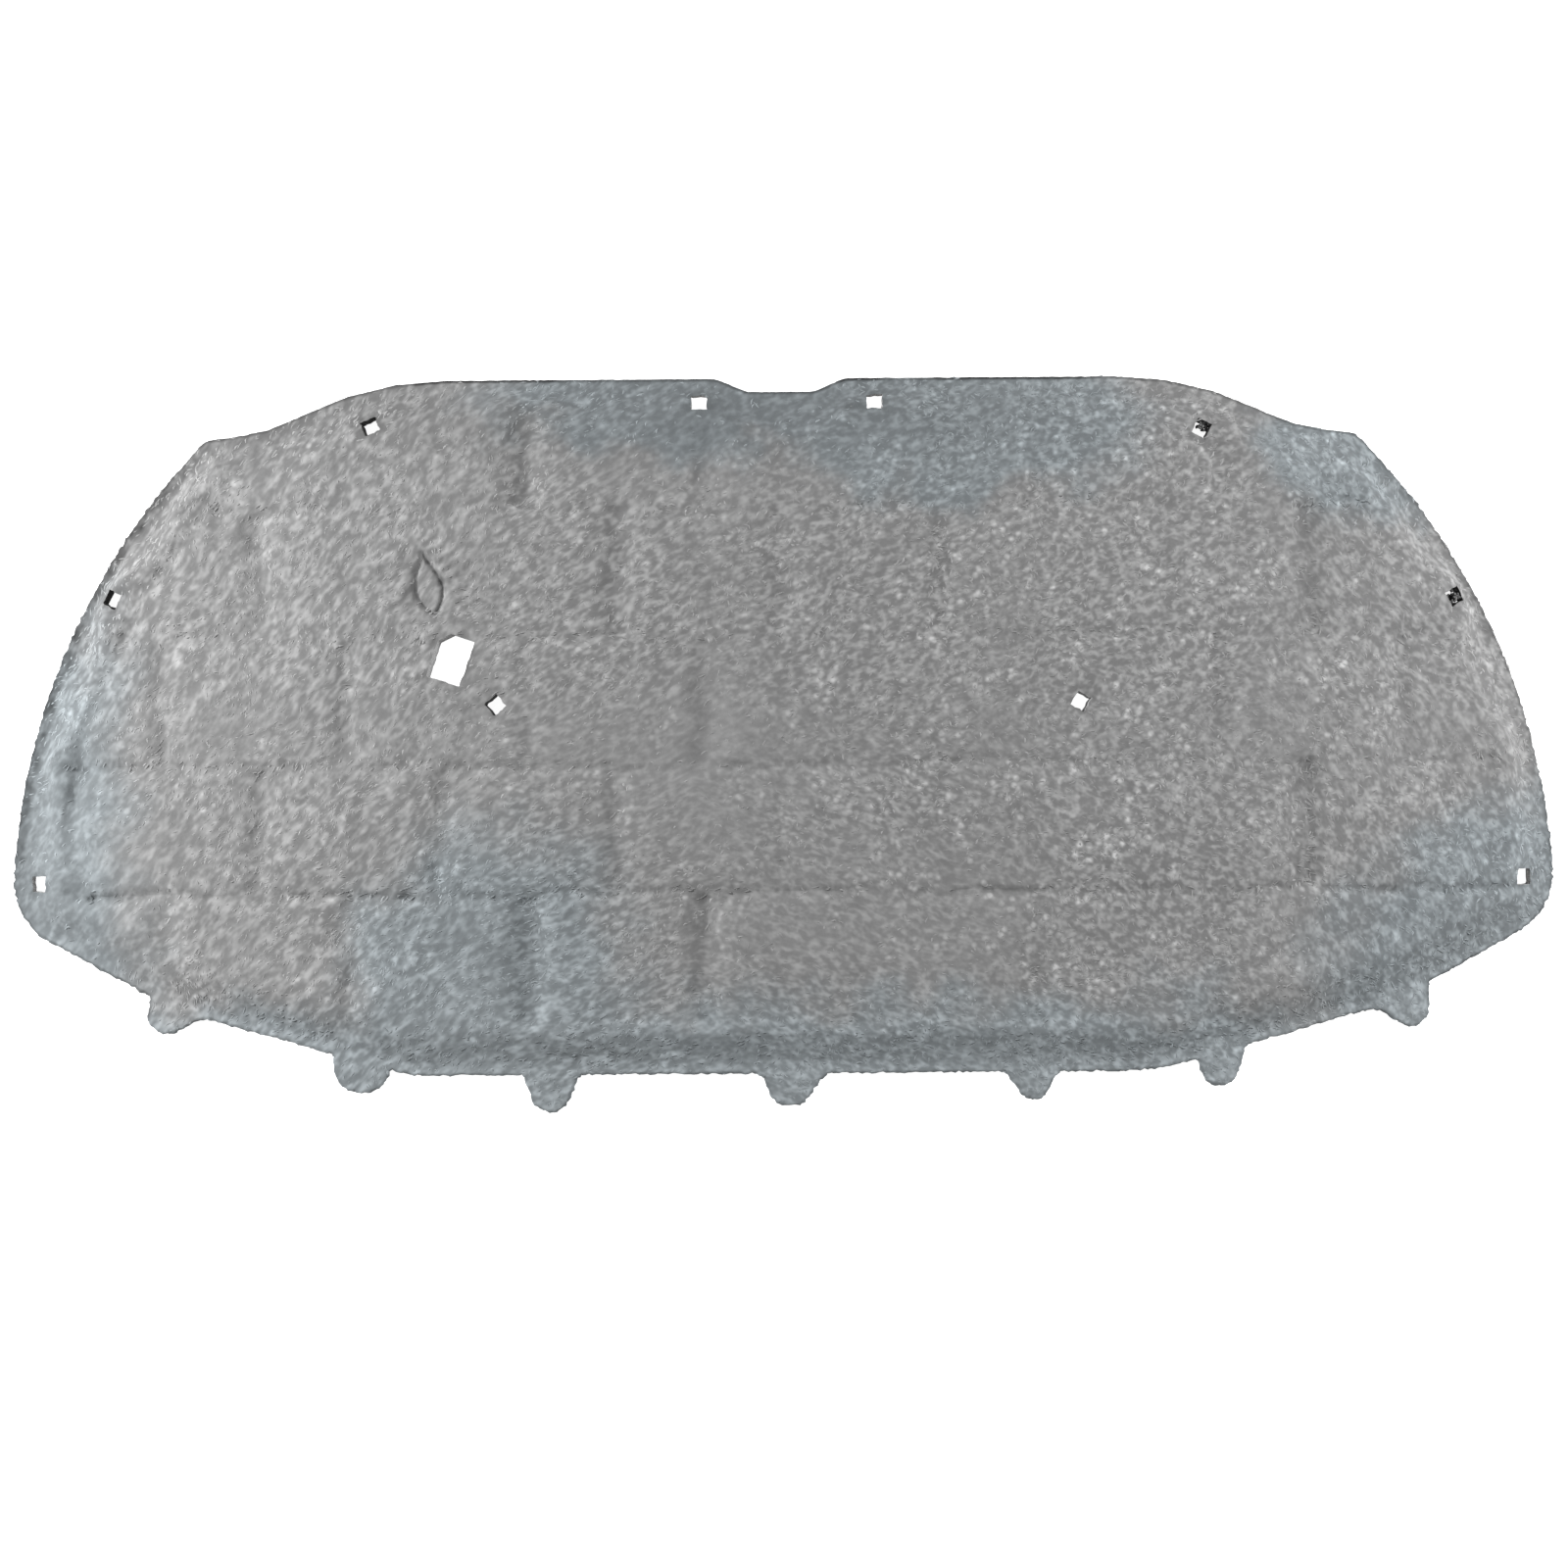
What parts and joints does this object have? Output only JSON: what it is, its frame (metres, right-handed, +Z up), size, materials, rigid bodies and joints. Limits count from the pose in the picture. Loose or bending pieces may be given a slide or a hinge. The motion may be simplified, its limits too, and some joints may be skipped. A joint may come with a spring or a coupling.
{
  "type": "hood insulation pad",
  "caption": "Car hood insulation pad: a thick grey felt mat with a pinched rim, pressed brickwork joints, square clip holes, a window and rounded tongues along its lower edge.",
  "frame": {"origin": "middle of the underside, under the centre of the whole outline with its tongues", "axes": "+X along the width, +Y from the tongues to the notched top edge, +Z up out of the face with the pressed joints"},
  "size_m": [1.25, 0.5946, 0.014],
  "materials": {
    "felt": "matte needled fibre felt"
  },
  "bodies": {
    "root": {"insulation_pad": "felt"}
  },
  "joints": []
}
